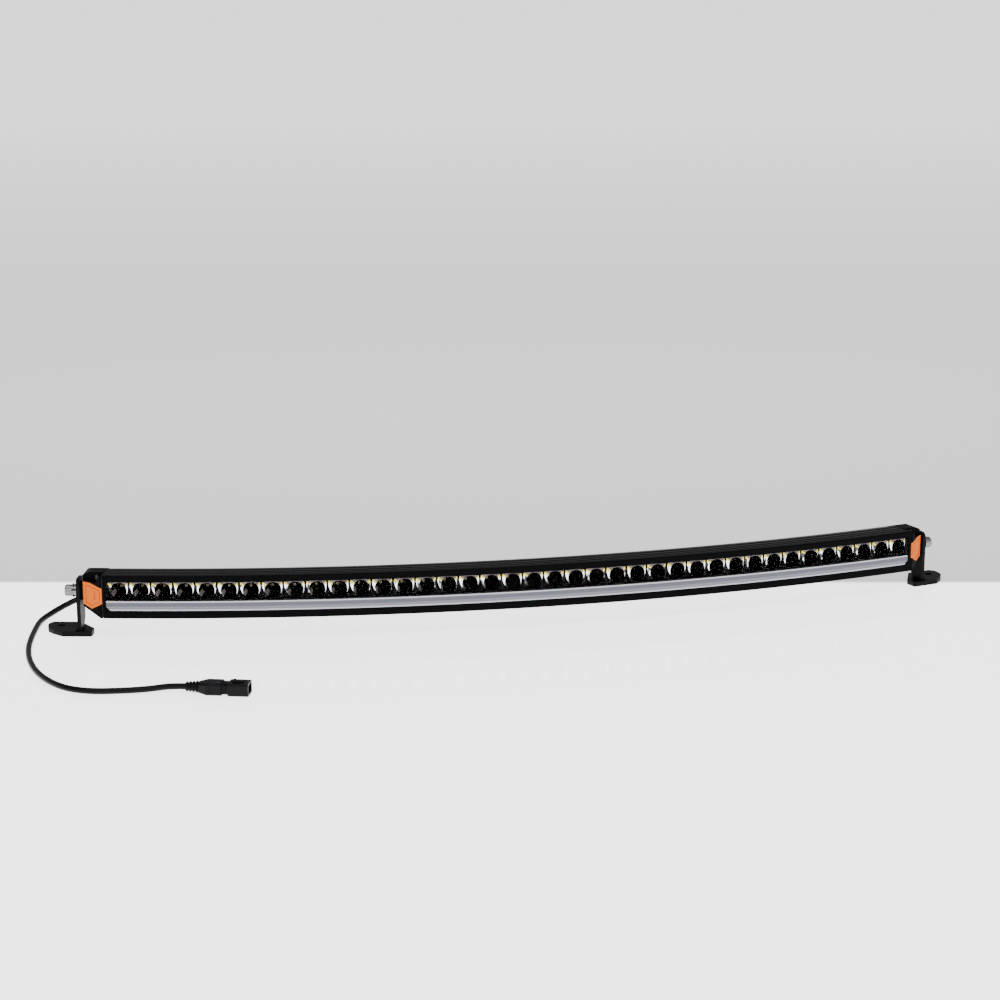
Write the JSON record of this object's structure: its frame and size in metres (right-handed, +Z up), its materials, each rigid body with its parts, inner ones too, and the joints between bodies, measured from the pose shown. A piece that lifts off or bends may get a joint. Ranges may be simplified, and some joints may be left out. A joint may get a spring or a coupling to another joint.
{
  "type": "led light bar",
  "caption": "Curved single-row LED light bar with a daylight strip, orange corner inserts, swivel feet and a short supply lead with a sealed connector.",
  "frame": {"origin": "on the standing plane, under the middle of the bar and its feet", "axes": "+X along the bar to the right seen from the front, +Y towards the back, +Z up"},
  "size_m": [1.1571, 0.3786, 0.0769],
  "materials": {
    "anodised": "black anodised extrusion, satin",
    "bezel_black": "black powder coat, fine texture",
    "bracket_black": "black powder coat",
    "clear_lens": "clear polycarbonate, hard coated",
    "seal": "black silicone",
    "seal_orange": "orange silicone",
    "milky_strip": "milky light guide, satin",
    "reflector_chrome": "vacuum metallised, dark chrome",
    "board_white": "white solder mask",
    "board_green": "green solder mask",
    "pad_grey": "grey thermal pad",
    "phosphor": "yellow phosphor",
    "component_black": "epoxy",
    "brass_post": "turned",
    "gland_black": "moulded nylon",
    "wire_red": "insulated wire",
    "cord_jacket": "black jacket",
    "plug_black": "moulded nylon",
    "pin_tin": "tinned",
    "orange_insert": "orange moulded plastic, satin",
    "screw_steel": "black oxide",
    "stainless": "stainless steel"
  },
  "bodies": {
    "bar": {"board_leads": "wire_red", "breather_vent": "gland_black", "cable_gland": "gland_black", "connector_latch": "plug_black", "connector_pins": "pin_tin", "connector_seal": "seal_orange", "connector_shell": "plug_black", "cord": "cord_jacket", "daylight_board": "board_white", "daylight_diffuser": "milky_strip", "daylight_leds": "phosphor", "driver_board": "board_green", "driver_parts": "component_black", "driver_standoffs": "brass_post", "front_bezel": "bezel_black", "housing": "anodised", "led_board": "board_white", "leds": "phosphor", "left_bolt": "stainless", "left_cap_gasket": "seal", "left_cap_screws": "screw_steel", "left_end_cap": "bezel_black", "left_insert": "orange_insert", "left_pivot_boss": "bezel_black", "left_reflector": "reflector_chrome", "left_spring_washer": "stainless", "left_washer": "stainless", "lens": "clear_lens", "lens_gasket": "seal", "middle_reflector": "reflector_chrome", "plug_body": "plug_black", "plug_boot": "cord_jacket", "right_bolt": "stainless", "right_cap_gasket": "seal", "right_cap_screws": "screw_steel", "right_end_cap": "bezel_black", "right_insert": "orange_insert", "right_pivot_boss": "bezel_black", "right_reflector": "reflector_chrome", "right_spring_washer": "stainless", "right_washer": "stainless", "thermal_pad": "pad_grey"},
    "left_bracket": {"left_bracket": "bracket_black"},
    "right_bracket": {"right_bracket": "bracket_black"}
  },
  "joints": [
    {"name": "left_bracket_swing", "type": "hinge", "parent": "bar", "child": "left_bracket", "pos_m": [-0.52573, 0.03159, 0.052], "axis": [0.9699, -0.2435, 0], "range_deg": [-90, 90]},
    {"name": "right_bracket_swing", "type": "hinge", "parent": "bar", "child": "right_bracket", "pos_m": [0.52573, 0.03159, 0.052], "axis": [0.9699, 0.2435, 0], "range_deg": [-90, 90]}
  ]
}
